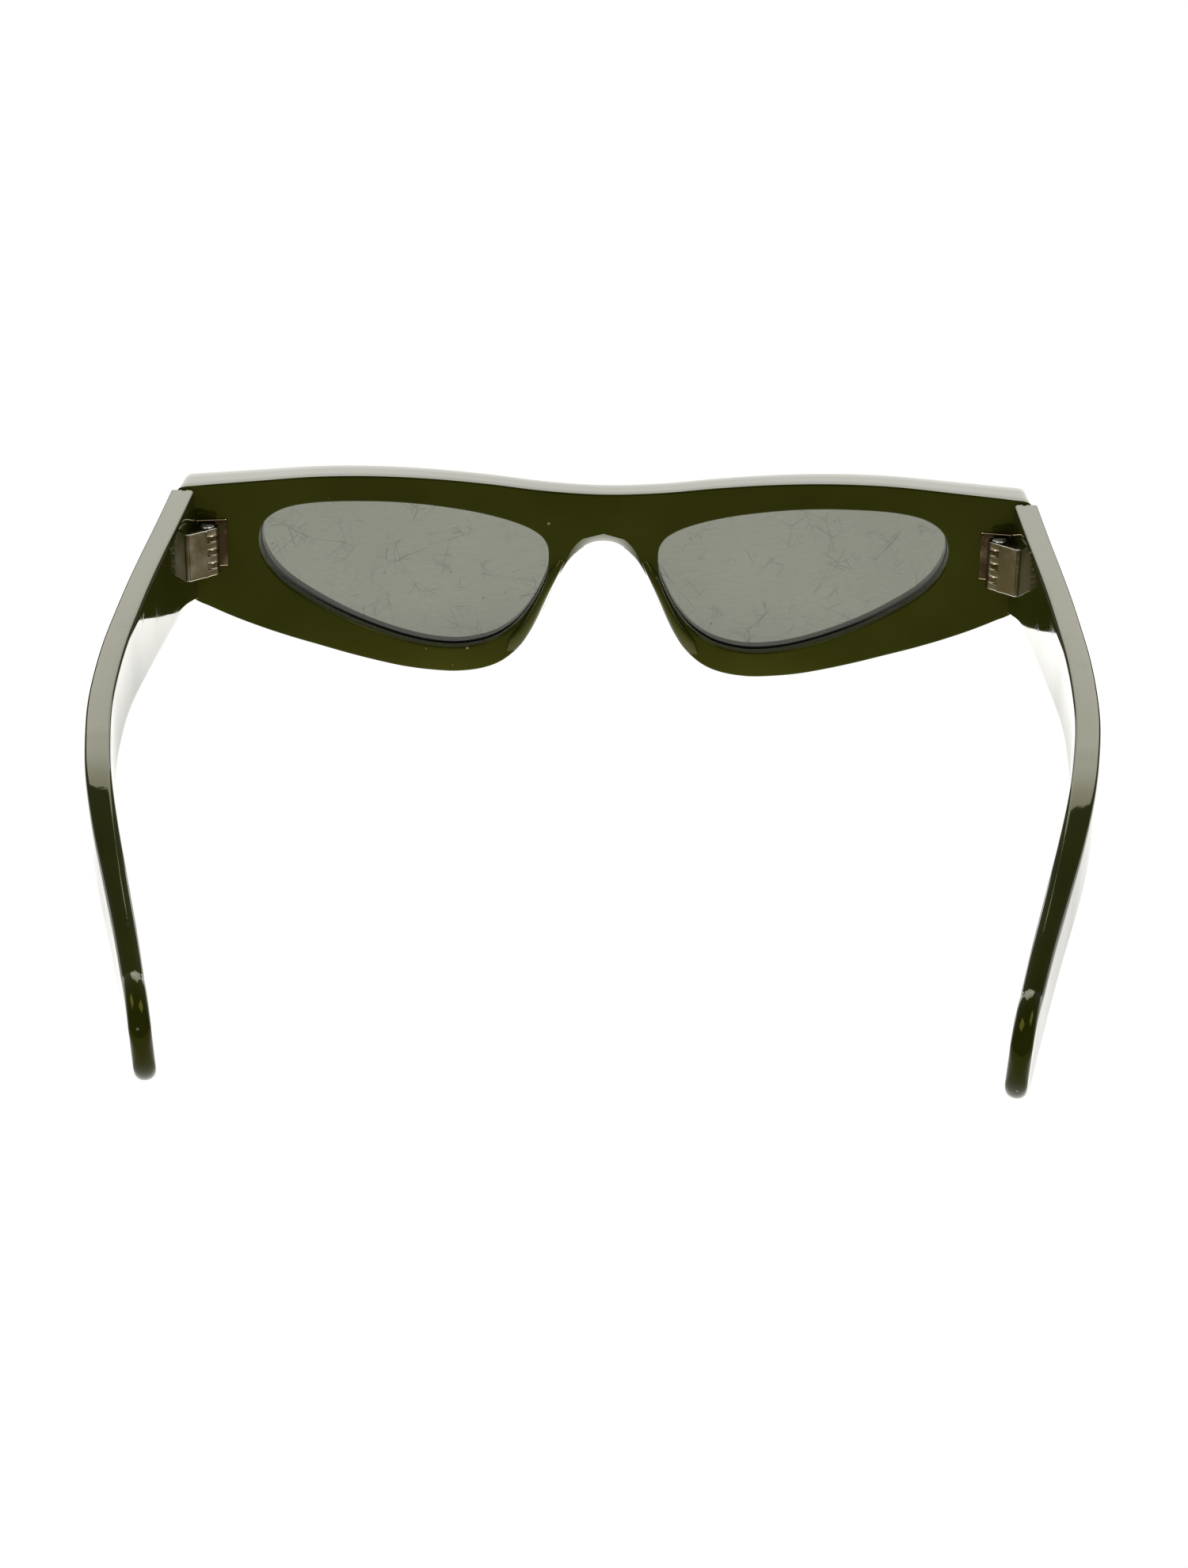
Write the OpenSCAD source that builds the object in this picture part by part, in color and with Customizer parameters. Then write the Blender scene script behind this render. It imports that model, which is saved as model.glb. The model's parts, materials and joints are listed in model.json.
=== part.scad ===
// Cat eye sunglasses: a thick acetate front with two tinted lenses, bonded nose pads,
// two temples with core wires, and a seven-barrel hinge with its screw on each side.
// They stand open on a table, on the bottoms of the rims and on the temple tips.
// +X is the wearer's right, +Y is forward, +Z is up, and the origin is on the table
// under the middle of the bounding box.

/* [Front] */
// Width across the front, end piece to end piece
front_width = 147.4; // [144:0.1:150]
// Thickness of the front at the bridge
bridge_thickness = 6.3; // [6:0.1:6.8]
// Radius of the front's rear face, seen from above
rear_radius = 350; // [340:5:365]
// Radius of the front's outer face, seen from above
face_radius = 460; // [440:5:480]
// Lean of the front, top forwards, when the glasses stand on a table
front_tilt = 3.5; // [3:0.1:4]

// Slope of the bevel under the bridge
bevel_angle = 39; // [30:1:50]

/* [Lenses] */
// Thickness of each lens
lens_thickness = 2.0; // [1.6:0.1:2.2]
// Radius of the lens's rear surface
lens_radius = 260; // [220:5:300]
// How far the lens edge goes into its groove
groove_depth = 0.7; // [0.5:0.05:0.8]
// Depth of the lens's rear surface in front of the front's rear face
lens_depth = 2.5; // [2.2:0.05:3.8]
// Gap between the lens edge and its groove
lens_gap = 0.05; // [0.03:0.01:0.08]

/* [Nose pads] */
// How far a nose pad stands behind the front's rear face
pad_height = 2.4; // [1.8:0.1:2.8]
// Splay of a pad's nose side, seen from above
pad_splay = 18; // [10:1:22]

/* [Temples] */
// Thickness of a temple at its front end
temple_thickness = 4.1; // [3.9:0.05:4.2]
// Thickness of a temple near its tip
tip_thickness = 3.8; // [3.6:0.05:4]
// Slope of the temple's top edge, falling to the rear
temple_slope = 5; // [4.8:0.1:5.2]
// Radius of the round tip, seen from the side
tip_radius = 7.6; // [7:0.1:8]
// Gap between a temple's end and the front, when open
butt_gap = 0.12; // [0.1:0.01:0.2]
// Width and thickness of the core wire
wire_width = 2.4; // [2:0.1:3]
// Thickness of the core wire
wire_thickness = 0.9; // [0.7:0.1:1]

/* [Hinges] */
// Radius of a hinge knuckle
knuckle_r = 2.0; // [1.8:0.05:2.05]
// Height of one knuckle with its gap
knuckle_pitch = 1.2; // [1.1:0.02:1.24]
// Gap between two knuckles
knuckle_gap = 0.06; // [0.04:0.01:0.1]
// Radius of the hinge screw's shank
screw_r = 0.7; // [0.6:0.05:0.8]
// Clearance of the shank in the knuckles
screw_clearance = 0.04; // [0.02:0.01:0.06]
// Radius of the screw's head
screw_head_r = 1.25; // [1.1:0.05:1.4]

/* [Hidden] */
$fn = 96;
olive = "#3d4010";
smoke = [0.35, 0.37, 0.32, 0.6];
nickel = "#9a9078";
brass = "#b08d4a";
steel = "#a8a8a4";

half_w = front_width / 2;
kx = half_w / 73.7;
side_shift = half_w - 73.7;
tall = 60;

// Smooth curve through a list of points: the points of one span between p[1] and p[2].
function span(p, n) = [for (k = [0:n - 1]) let (t = k / n)
    0.5 * (2 * p[1] + (p[2] - p[0]) * t + (2 * p[0] - 5 * p[1] + 4 * p[2] - p[3]) * t * t
    + (3 * p[1] - p[0] - 3 * p[2] + p[3]) * t * t * t)];
// A closed smooth curve through all the points.
function loop_curve(p, n) = [for (i = [0:len(p) - 1]) each span(
    [p[(i + len(p) - 1) % len(p)], p[i], p[(i + 1) % len(p)], p[(i + 2) % len(p)]], n)];
// An open smooth curve, its ends included.
function open_curve(p, n) = let (m = len(p) - 1) [for (i = [0:m - 1]) each span(
    [p[max(i - 1, 0)], p[i], p[i + 1], p[min(i + 2, m)]], n), p[m]];
function backwards(p) = [for (i = [len(p) - 1:-1:0]) p[i]];
function flip_x(p) = [for (q = p) [-q[0], q[1]]];
function arc(c, r, a0, a1, n) = [for (k = [0:n]) let (a = a0 + (a1 - a0) * k / n)
    c + r * [cos(a), sin(a)]];
function unit(v) = v / norm(v);
// A closed anticlockwise outline grown outwards by g along its normals.
function grown(p, g) = let (m = len(p)) [for (i = [0:m - 1])
    let (t = unit(p[(i + 1) % m] - p[(i + m - 1) % m])) p[i] + g * [t[1], -t[0]]];
function widened(p) = [for (q = p) [q[0] * kx, q[1]]];

// Edge of the front for the wearer's right half, in its own plane: x and height.
top_edge = [[0, 32.9], [10, 33.4], [20, 34.6], [30, 35.6], [40, 36.2], [50, 36.3],
            [60, 35.85], [67, 35.55], [72.2, 35.35]];
end_corner = arc([72.2, 33.85], 1.5, 90, 0, 8);
low_corner = [[73.7, 30], [73.7, 22], [73.6, 18], [73, 16]];
low_edge = [[73, 16], [70, 14.2], [65, 11.5], [60, 9.2], [55, 7.2], [50, 5.45], [45, 3.75],
            [40, 2.25], [35, 1.0], [30, 0.25], [25.5, 0], [21, 0.6], [17.5, 2.1],
            [14.4, 4.9], [12.5, 7.6], [11.1, 10.2], [9.9, 12.9], [8.8, 15.5], [7.65, 18.1],
            [6.15, 20.5], [4.4, 22.2], [2.4, 23.1], [0, 23.4]];
// Where the bevel under the bridge meets the rear face.
bridge_arch = [[0, 25.8], [3.3, 24.8], [5.2, 23], [6.5, 20.7], [7.2, 18.8], [7.5, 17],
               [7.6, 14], [7.6, 9]];
half_edge = concat(open_curve(top_edge, 4), end_corner, open_curve(low_corner, 3),
                   open_curve(low_edge, 4));
front_edge = widened(concat(backwards(half_edge),
    [for (i = [1:len(half_edge) - 2]) [-half_edge[i][0], half_edge[i][1]]]));
// Opening of the right lens, anticlockwise.
lens_opening = widened([[9.6, 21], [10, 18], [11.4, 14.6], [13.3, 11.3], [16.2, 8],
    [20, 5.7], [25, 4.6], [30, 4.85], [35, 6], [40, 7.8], [45, 10.1], [50, 13],
    [54.8, 16.4], [57.6, 19.3], [59.2, 22.1], [59.8, 25], [59.2, 27.7], [57.6, 29.6],
    [54.6, 30.95], [50, 31.6], [44, 31.7], [37, 31.45], [30, 30.75], [22, 29.4],
    [15.5, 27.6], [11.6, 25.7], [9.9, 23.6]]);
lens_hole = loop_curve(lens_opening, 4);

lens_x = 34.7 * kx;
lens_h = 18;
lens_wrap = asin(lens_x / 400);
rear_at_lens = -(rear_radius - sqrt(rear_radius * rear_radius - lens_x * lens_x));

// Hinge axis: its place in the front's own plane, and its distance behind the rear face.
pin_x = 67.9 + side_shift;
pin_h = 25.1;
rear_at_pin = -(rear_radius - sqrt(rear_radius * rear_radius - pin_x * pin_x));
pin_d = rear_at_pin - 3.85;
plate_turn = asin(pin_x / rear_radius);
plate_rear = 3.4;
plate_front = 4.8;
hinge_h = 7 * knuckle_pitch;
web_half = knuckle_r - 0.35;

// Plan of a temple: the outer face from front to tip, x against y.
temple_plan = [[73.6, 4], [74.25, -6], [75.2, -20], [75.95, -30], [76.6, -40],
               [77.05, -50], [77.35, -60], [77.2, -70], [76.6, -80], [75.3, -90],
               [73.5, -100], [71.0, -110], [68.0, -120], [65.0, -130], [62.2, -140],
               [59.8, -149]];
plan_curve = open_curve([for (p = temple_plan) p + [side_shift, 0]], 4);
// Side view of a temple: y against height.
bend_y = -91;
top_front = 36.25;
function top_z(y) = top_front + y * tan(temple_slope);
top_line = [[4, top_z(4)], [-30, top_z(-30)], [-60, top_z(-60)], [-82, top_z(-82)],
            [bend_y, top_z(bend_y)], [-100, 27.2], [-109, 25.1], [-120, 21.75], [-131, 18.4],
            [-138.6, 15.7]];
tip_c = [-138.9, tip_radius];
tip_arc = arc(tip_c, tip_radius, 100, 270, 20);
under_line = [[-138.9, 0], [-135.5, 0.75], [-130, 3.1], [-123, 6.5], [-114, 10.3], [-104, 13.4],
              [-94, 15.8], [-84, 17.4], [-74, 18.6], [-65, 19.3], [-55, 19.3], [-45, 18.9],
              [-33, 18.6], [-21, 18.4], [-13, 17.6], [-8, 16.4], [-4, 15.1], [4, 12]];
under_curve = open_curve(under_line, 4);
side_outline = concat(open_curve(top_line, 4), tip_arc,
    [for (i = [1:len(under_curve) - 1]) under_curve[i]]);
// Centre line of the core wire, seen from the side.
wire_front = -6.8;
wire_line = open_curve([[-4, 25.7], [-25, 25.6], [-45, 25.1], [-62, 24.4], [-78, 22.9],
                        [-94, 21], [-108, 18.3], [-120, 14.6], [-129, 11.6]], 4);

// Everything is shifted back so that the box round the open glasses is centred, and up
// so that the rims' lower front edges touch the table.
reach_front = bridge_thickness * cos(front_tilt) + top_edge[0][1] * sin(front_tilt);
reach_back = tip_radius - tip_c[0];
datum_y = (reach_back - reach_front) / 2;
lift = sin(front_tilt) * (bridge_thickness - 25.5 * 25.5 / (2 * face_radius));

// The front's own frame: x across, y forward from its rear face, z up in its plane.
module in_front() {
  translate([0, datum_y, lift]) rotate([-front_tilt, 0, 0]) children();
}
// The frame that the temples are drawn in, with the rear face's bottom at y = 0.
module in_side() {
  translate([0, datum_y, 0]) children();
}
// The hinge's frame on the wearer's right: x outwards, y forward, z up along the pin.
module at_pin() {
  in_front() translate([pin_x, pin_d, pin_h]) children();
}
module both(side) {
  mirror([side < 0 ? 1 : 0, 0, 0]) children();
}
// A block whose face is the outline given in the front's own plane.
module in_plane(outline) {
  rotate([90, 0, 0]) linear_extrude(height = 80, center = true) polygon(outline);
}
module rear_cylinder(shrink) {
  translate([0, -rear_radius, -tall / 2])
    cylinder(r = rear_radius - shrink, h = 2 * tall, $fn = 1440);
}
module lens_shell(inner_gap) {
  translate([lens_x, rear_at_lens + lens_depth, lens_h]) rotate([0, 0, -lens_wrap])
    translate([0, -lens_radius, 0]) difference() {
      sphere(r = lens_radius + lens_thickness + inner_gap, $fn = 360);
      sphere(r = lens_radius - inner_gap, $fn = 360);
    }
}
module lens_body(gap, inner_gap) {
  intersection() {
    in_plane(grown(lens_hole, groove_depth + gap));
    lens_shell(inner_gap);
  }
}

// The bevel that opens the nose side of the bridge towards the rear: a prism that runs
// forwards and down, and leaves the rear face along the arch.
module bridge_bevel() {
  arch = open_curve([for (p = bridge_arch) [p[0], (p[1] - 25.8) * cos(bevel_angle)]], 4);
  translate([0, 0, 25.8]) rotate([-bevel_angle, 0, 0])
    in_plane(concat(arch, backwards([for (i = [1:len(arch) - 1]) [-arch[i][0], arch[i][1]]])));
}
module front_pockets() {
  translate([pin_x, pin_d, pin_h]) rotate([0, 0, -plate_turn]) {
    front_plate(0.04);
    front_studs(0.03);
  }
}
module front_frame() {
  color(olive) in_front() difference() {
    intersection() {
      in_plane(front_edge);
      translate([0, bridge_thickness - face_radius, -tall / 2])
        cylinder(r = face_radius, h = 2 * tall, $fn = 1440);
    }
    rear_cylinder(0);
    bridge_bevel();
    for (side = [-1, 1]) both(side) {
      in_plane(lens_hole);
      lens_body(lens_gap, lens_gap);
      front_pockets();
    }
  }
}
module lens(side) {
  color(smoke) both(side) in_front() lens_body(0, 0);
}

// The crescent that a nose pad covers, along the nose side of the rim.
pad_outline = loop_curve([[6.3, 21.6], [7.5, 18.9], [8.7, 16], [9.8, 13.3], [11, 10.6],
    [12.4, 8], [14.2, 5.4], [16, 3.9], [17.4, 4.2], [16.3, 6.6], [14, 9.3], [12, 12.3],
    [10.4, 15.6], [9.3, 18.9], [7.9, 21.4]], 4);
module nose_pad(side) {
  bump_r = (115 + pad_height * pad_height) / (2 * pad_height);
  color(olive) both(side) in_front() intersection() {
    translate([9 * kx, 0, 0]) rotate([0, 0, pad_splay]) translate([-9, 0, 0])
      in_plane(pad_outline);
    translate([0, bump_r - pad_height, 12.6]) rotate([0, 90, 0])
            cylinder(r = bump_r, h = 40, $fn = 180);
    translate([6, -0.06, -10]) rotate([0, 0, -1.9]) translate([-20, -20, 0])
      cube([60, 20, 60]);
  }
}

// The plate of the front hinge, set in the rear face, and its two anchor studs.
module front_plate(gap) {
  translate([-3.6 - gap, plate_rear - (gap > 0 ? 2 : 0), -hinge_h / 2 - gap])
    cube([5.6 + 2 * gap, plate_front - plate_rear + gap + (gap > 0 ? 2 : 0),
          hinge_h + 2 * gap]);
}
module front_studs(gap) {
  for (c = [-2.4, 2.4]) translate([-0.8, plate_front - 0.5, c]) rotate([-90, 0, 0])
    cylinder(r = 0.6 + gap, h = 1.7 + gap, $fn = 32);
}
// One front knuckle and the web that carries it, seen along the pin.
module tongue_outline() {
  difference() {
    union() {
      circle(r = knuckle_r);
      rotate(-plate_turn) translate([-web_half, 0])
        square([web_half + 1.1, plate_rear + 0.3]);
    }
    circle(r = screw_r + screw_clearance, $fn = 64);
  }
}
module screw_bore(r) {
  translate([0, 0, -hinge_h]) cylinder(r = r, h = 2 * hinge_h, $fn = 64);
}
module front_hinge(side) {
  color(brass) both(side) at_pin() {
    rotate([0, 0, -plate_turn]) {
      front_plate(0);
      front_studs(0);
    }
    for (k = [-2, 0, 2])
      translate([0, 0, k * knuckle_pitch - (knuckle_pitch - knuckle_gap) / 2])
        linear_extrude(height = knuckle_pitch - knuckle_gap) tongue_outline();
  }
}

// The temple hinge: a plate in the temple's inner face and a block cut into four knuckles.
temple_turn = 3.6;
temple_plate_x = 2.0;
module temple_plate(gap) {
  rotate([0, 0, temple_turn])
    translate([temple_plate_x - (gap > 0 ? 2 : 0), -5.3 - gap, -hinge_h / 2 - gap])
      cube([1.5 + gap + (gap > 0 ? 2 : 0), 7.6 + 2 * gap, hinge_h + 2 * gap]);
}
module temple_studs(gap) {
  rotate([0, 0, temple_turn]) for (c = [-2.8, 2.8])
    translate([temple_plate_x + 1.2, -2.6, c]) rotate([0, 90, 0])
      cylinder(r = 0.6 + gap, h = 1.5 + gap, $fn = 32);
}
module temple_hinge(side) {
  diag = knuckle_r * sqrt(0.5);
  clear_r = knuckle_r + 0.12;
  color(nickel) both(side) at_pin() difference() {
    union() {
      temple_plate(0);
      temple_studs(0);
      translate([0, 0, -(hinge_h - knuckle_gap) / 2]) {
        cylinder(r = knuckle_r, h = hinge_h - knuckle_gap);
        linear_extrude(height = hinge_h - knuckle_gap)
          polygon([[-diag, -diag], [2.4, -2 * diag - 2.4], [2.4, 1.6], [0.6, knuckle_r - 0.1],
                   [0, 0]]);
      }
    }
    for (k = [-2, 0, 2]) translate([0, 0, (k - 0.5) * knuckle_pitch - knuckle_gap / 2]) {
      cylinder(r = clear_r, h = knuckle_pitch + knuckle_gap);
      translate([-6, 0, 0]) cube([6 + clear_r - 0.001, 4, knuckle_pitch + knuckle_gap]);
      translate([-6, -clear_r * 0.2, 0]) cube([5, 4, knuckle_pitch + knuckle_gap]);
    }
    screw_bore(screw_r + 0.02);
    screw_head(0.03);
  }
}

// The screw is flush: its head sinks into the top knuckle.
module screw_head(gap) {
  translate([0, 0, hinge_h / 2 - 0.65 - gap]) cylinder(r = screw_head_r + gap, h = 2);
}
module hinge_screw(side) {
  color(steel) both(side) at_pin() difference() {
    union() {
      translate([0, 0, -hinge_h / 2 + 0.1]) cylinder(r = screw_r, h = hinge_h - 0.3, $fn = 64);
      translate([0, 0, hinge_h / 2 - 0.65]) cylinder(r = screw_head_r, h = 0.6);
    }
    translate([-2, -0.15, hinge_h / 2 - 0.4]) cube([4, 0.3, 1]);
  }
}

corner_r = 1.8;
// Strip of the plan between two depths in from the outer face, as a closed outline.
function inward(p, i, g) = let (m = len(p) - 1,
    t = unit(p[min(i + 1, m)] - p[max(i - 1, 0)])) p[i] + g * [t[1], -t[0]];
function thickness_at(y) = temple_thickness
    + (tip_thickness - temple_thickness) * min(max(-y / 120, 0), 1);
function strip(p, f0, f1, g) = concat(
    [for (i = [0:len(p) - 1]) inward(p, i, f0 * thickness_at(p[i][1]) - g)],
    [for (i = [len(p) - 1:-1:0]) inward(p, i, f1 * thickness_at(p[i][1]) + g)]);
module plan_block(outline) {
  translate([0, 0, -20]) linear_extrude(height = 80) polygon(outline);
}
module side_block(outline) {
  rotate([90, 0, 90]) linear_extrude(height = 120) polygon(outline);
}
function band(p, g) = concat(
    [for (i = [0:len(p) - 1]) inward(p, i, g)],
    [for (i = [len(p) - 1:-1:0]) inward(p, i, -g)]);
module core_strip(gap) {
  intersection() {
    plan_block(strip(plan_curve, 0.5, 0.5, wire_thickness / 2 + gap));
    side_block(band(wire_line, wire_width / 2 + gap));
  }
}
module temple(side) {
  color(olive) both(side) difference() {
    intersection() {
      in_side() intersection() {
        plan_block(strip(plan_curve, 0, 1, 0));
        side_block(side_outline);
      }
      in_front() rear_cylinder(butt_gap);
    }
    in_front() front_corner();
    
    in_side() core_strip(0.03);
    at_pin() {
      temple_plate(0.04);
      temple_studs(0.03);
      translate([0, 0, -hinge_h / 2 - 0.2])
        cylinder(r = knuckle_r + 0.35, h = hinge_h + 0.4);
    }
  }
}
// What is taken off the temple's inner front corner, where it meets the front's rear face.
module front_corner() {
  translate([pin_x + 2.15, rear_at_pin - 0.67 - corner_r, -5]) difference() {
    translate([-1, 0, 0]) cube([1 + corner_r, 1 + corner_r, 50]);
    translate([corner_r, 0, -1]) cylinder(r = corner_r, h = 60);
  }
}
module core_wire(side) {
  color(steel) both(side) in_side() intersection() {
    core_strip(0);
    translate([0, wire_front - 200, 0]) cube([120, 200, 60]);
  }
}

front_frame();
lens(-1);  // lens_left
lens(1);  // lens_right
nose_pad(-1);  // nose_pad_left
nose_pad(1);  // nose_pad_right
temple(-1);  // temple_left
temple(1);  // temple_right
core_wire(-1);  // core_wire_left
core_wire(1);  // core_wire_right
front_hinge(-1);  // front_hinge_left
front_hinge(1);  // front_hinge_right
temple_hinge(-1);  // temple_hinge_left
temple_hinge(1);  // temple_hinge_right
hinge_screw(-1);  // hinge_screw_left
hinge_screw(1);  // hinge_screw_right
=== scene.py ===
# %% [markdown]
# # Cat eye sunglasses
# A pair of thick acetate sunglasses stands open on a pale table, on the bottoms of its
# rims and on its temple tips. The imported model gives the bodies, the joints and the
# sizes. This file rebuilds each visible piece as a smooth surface of the same size, with
# the polished edges that hand finishing leaves, and gives every piece its finish.

import json
import math

import bmesh
import bpy
import numpy as np
from mathutils import Matrix, Vector

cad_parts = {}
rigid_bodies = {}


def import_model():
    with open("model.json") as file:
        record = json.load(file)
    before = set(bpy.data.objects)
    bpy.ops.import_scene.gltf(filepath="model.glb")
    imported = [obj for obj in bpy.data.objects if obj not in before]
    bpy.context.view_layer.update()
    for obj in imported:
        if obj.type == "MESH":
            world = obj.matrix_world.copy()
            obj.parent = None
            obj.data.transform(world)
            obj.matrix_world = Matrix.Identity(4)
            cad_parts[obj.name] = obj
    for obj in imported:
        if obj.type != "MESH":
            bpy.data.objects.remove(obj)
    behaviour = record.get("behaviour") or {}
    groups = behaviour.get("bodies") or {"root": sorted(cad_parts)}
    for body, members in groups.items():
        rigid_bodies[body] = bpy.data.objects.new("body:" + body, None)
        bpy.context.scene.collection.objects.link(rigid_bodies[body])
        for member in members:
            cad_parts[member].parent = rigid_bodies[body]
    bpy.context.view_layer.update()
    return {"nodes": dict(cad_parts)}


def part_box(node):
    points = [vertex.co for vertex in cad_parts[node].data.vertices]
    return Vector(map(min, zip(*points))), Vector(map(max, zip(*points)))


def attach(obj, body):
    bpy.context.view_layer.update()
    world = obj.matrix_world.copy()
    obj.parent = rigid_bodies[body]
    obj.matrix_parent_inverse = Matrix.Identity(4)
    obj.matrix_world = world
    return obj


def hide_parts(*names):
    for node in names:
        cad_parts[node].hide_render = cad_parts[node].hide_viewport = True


for leftover in list(bpy.data.objects):
    bpy.data.objects.remove(leftover)
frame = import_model()
MM = 0.001

# %% [markdown]
# ## The camera
# The glasses are seen from behind, where the wearer's head would be, from a hand's
# breadth above the table. The camera is made first so that every later render can be
# compared with the same view.

# %% Camera
scene = bpy.context.scene
scene.view_settings.view_transform = "Standard"
look_down, look_aside, roll = 0.45379, -0.01889, 0.01106
ahead = Vector((math.sin(look_aside) * math.cos(look_down),
                math.cos(look_aside) * math.cos(look_down), -math.sin(look_down)))
across = ahead.cross(Vector((0, 0, 1))).normalized()
upward = across.cross(ahead)
level = across * math.cos(roll) + upward * math.sin(roll)
plumb = upward * math.cos(roll) - across * math.sin(roll)
camera_data = bpy.data.cameras.new("camera")
FOCAL, SENSOR = 71.886, 36
CAMERA_PLACE = (8.455, -440.2, 226.64)
camera_data.lens = FOCAL
camera_data.sensor_fit = "VERTICAL"
camera_data.sensor_height = SENSOR
camera_data.clip_start = 0.01
camera = bpy.data.objects.new("camera", camera_data)
camera.matrix_world = (Matrix.Translation(Vector(CAMERA_PLACE) * MM)
                       @ Matrix((level, plumb, -ahead)).transposed().to_4x4())
scene.collection.objects.link(camera)
scene.camera = camera
print("camera at", [round(c, 4) for c in camera.matrix_world.translation])

# %% [markdown]
# ## Curves and surfaces
# An outline on this object is a smooth curve through a few points. A piece is such an
# outline, or a section, carried along a path: a grid of points, row after row. These
# helpers draw the curves and turn grids into meshes. Working with whole arrays keeps
# them short.

# %% Curves


def smooth_curve(points, n, closed=False):
    """Catmull-Rom curve, n points for each span: the cubic that passes through b and c
    and is as steep there as the chords a to c and b to d are."""
    p = np.asarray(points, float)
    if closed:
        a, b, c, d = (np.roll(p, k, 0)[:, None, :] for k in (1, 0, -1, -2))
    else:
        q = np.vstack([p[:1], p, p[-1:]])
        a, b, c, d = (q[k:len(q) - 3 + k][:, None, :] for k in range(4))
    t = (np.arange(n) / n)[None, :, None]
    s = 0.5 * (2 * b + (c - a) * t + (2 * a - 5 * b + 4 * c - d) * t ** 2
               + (3 * b - a - 3 * c + d) * t ** 3)
    s = s.reshape(-1, p.shape[1])
    return s if closed else np.vstack([s, p[-1:]])


def running_length(curve):
    """Distance from the first point to each point: the steps between points, added up."""
    return np.concatenate([[0], np.cumsum(np.linalg.norm(np.diff(curve, axis=0), axis=1))])


def at_lengths(curve, lengths):
    """The points of a curve at these distances along it, by linear interpolation."""
    run = running_length(curve)
    return np.stack([np.interp(lengths, run, curve[:, k]) for k in range(curve.shape[1])], 1)


def even(curve, n):
    """The curve again, as n + 1 points at equal distances."""
    return at_lengths(curve, np.linspace(0, running_length(curve)[-1], n + 1))


def left_normal(loop):
    """Unit normal at each point of a closed outline, to the left of its direction: the
    chord between the two neighbours, turned by a quarter."""
    t = np.roll(loop, -1, 0) - np.roll(loop, 1, 0)
    t /= np.linalg.norm(t, axis=1)[:, None]
    return np.stack([-t[:, 1], t[:, 0]], 1)


def eased(loop, width):
    """A closed row of values, smoothed with a bell of this half width in points."""
    k = np.arange(-3 * int(width + 1), 3 * int(width + 1) + 1)
    bell = np.exp(-0.5 * (k / width) ** 2)
    bell /= bell.sum()
    index = (np.arange(len(loop))[:, None] + k[None, :]) % len(loop)
    return np.tensordot(loop[index], bell, axes=([1], [0]))


def ramp(x, a, b):
    """0 before a, 1 after b, and the smooth cubic step between them."""
    t = np.clip((np.asarray(x, float) - a) / (b - a), 0, 1)
    return t * t * (3 - 2 * t)


print("a circle of 8 points, smoothed:", smooth_curve(
    [[math.cos(a), math.sin(a)] for a in np.arange(8) * math.pi / 4], 6, True).shape)

# %% Meshes from grids


def grid_faces(rows, columns, start=0):
    """The four-cornered faces of a grid whose columns close into a ring: each face joins
    a point, the next in its row, and the same two in the next row."""
    r = np.arange(rows - 1)[:, None] * columns
    c = np.arange(columns)[None, :]
    d = (c + 1) % columns
    return np.stack([r + c, r + d, r + columns + d, r + columns + c], -1).reshape(-1, 4) + start


def make_piece(name, grids, body, replaces, ends=False, sharp=35, edge=None):
    """One mesh object from one or more grids in millimetres, (rows, columns, 3), in the
    row frame. Shared points are merged, which closes the seams and the poles, and the
    faces are turned outwards. ends caps the first and the last row of each grid."""
    points = np.concatenate([g.reshape(-1, 3) for g in grids]) * MM
    starts = np.cumsum([0] + [g.shape[0] * g.shape[1] for g in grids])
    faces = []
    for g, start in zip(grids, starts):
        faces += grid_faces(g.shape[0], g.shape[1], start).tolist()
        if ends:
            ring = np.arange(g.shape[1])
            faces.append((ring[::-1] + start).tolist())
            faces.append((ring + start + (g.shape[0] - 1) * g.shape[1]).tolist())
    mesh = bpy.data.meshes.new(name)
    mesh.from_pydata(points.tolist(), [], faces)
    if edge is not None:
        mesh.attributes.new("edge", "FLOAT", "POINT").data.foreach_set(
            "value", np.concatenate([e.ravel() for e in edge]).astype(np.float32))
    bm = bmesh.new()
    bm.from_mesh(mesh)
    bmesh.ops.remove_doubles(bm, verts=bm.verts, dist=2e-6)
    bmesh.ops.dissolve_degenerate(bm, dist=1e-7, edges=bm.edges)
    bmesh.ops.recalc_face_normals(bm, faces=bm.faces)
    bm.to_mesh(mesh)
    open_edges = sum(1 for e in bm.edges if not e.is_manifold)
    bm.free()
    mesh.polygons.foreach_set("use_smooth", np.ones(len(mesh.polygons), bool))
    mesh.set_sharp_from_angle(angle=math.radians(sharp))
    piece = bpy.data.objects.new(name, mesh)
    scene.collection.objects.link(piece)
    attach(piece, body)
    if replaces:
        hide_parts(*replaces)
    print(f"{name}: {len(mesh.polygons)} faces, {open_edges} open edges")
    return piece


def mirrored(grid):
    """The same grid on the wearer's other side."""
    return grid * np.array([-1, 1, 1])


SIDES = {"right": lambda g: g, "left": mirrored}

# %% [markdown]
# ## Where the front stands
# The front is drawn in its own plane: x across, h up, and d forwards from its rear face.
# It leans forwards a little when the glasses stand on a table, so one turn about x and
# one shift put it in place. The numbers are the CAD part's own, and the CAD part's box is
# printed.

# %% The front's plane
LEAN = math.radians(3.5)
SHIFT_Y, LIFT = 69.1016, 0.3415
REAR_R, FACE_R, BRIDGE = 350.0, 460.0, 6.3


def rear_depth(x):
    """Depth of the front's rear face: a round bend of radius 350 mm, level at the bridge."""
    return np.sqrt(REAR_R ** 2 - x ** 2) - REAR_R


def face_depth(x):
    """Depth of the front's outer face: 6.3 mm at the bridge, on a bend of 460 mm."""
    return BRIDGE + np.sqrt(FACE_R ** 2 - x ** 2) - FACE_R


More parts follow.
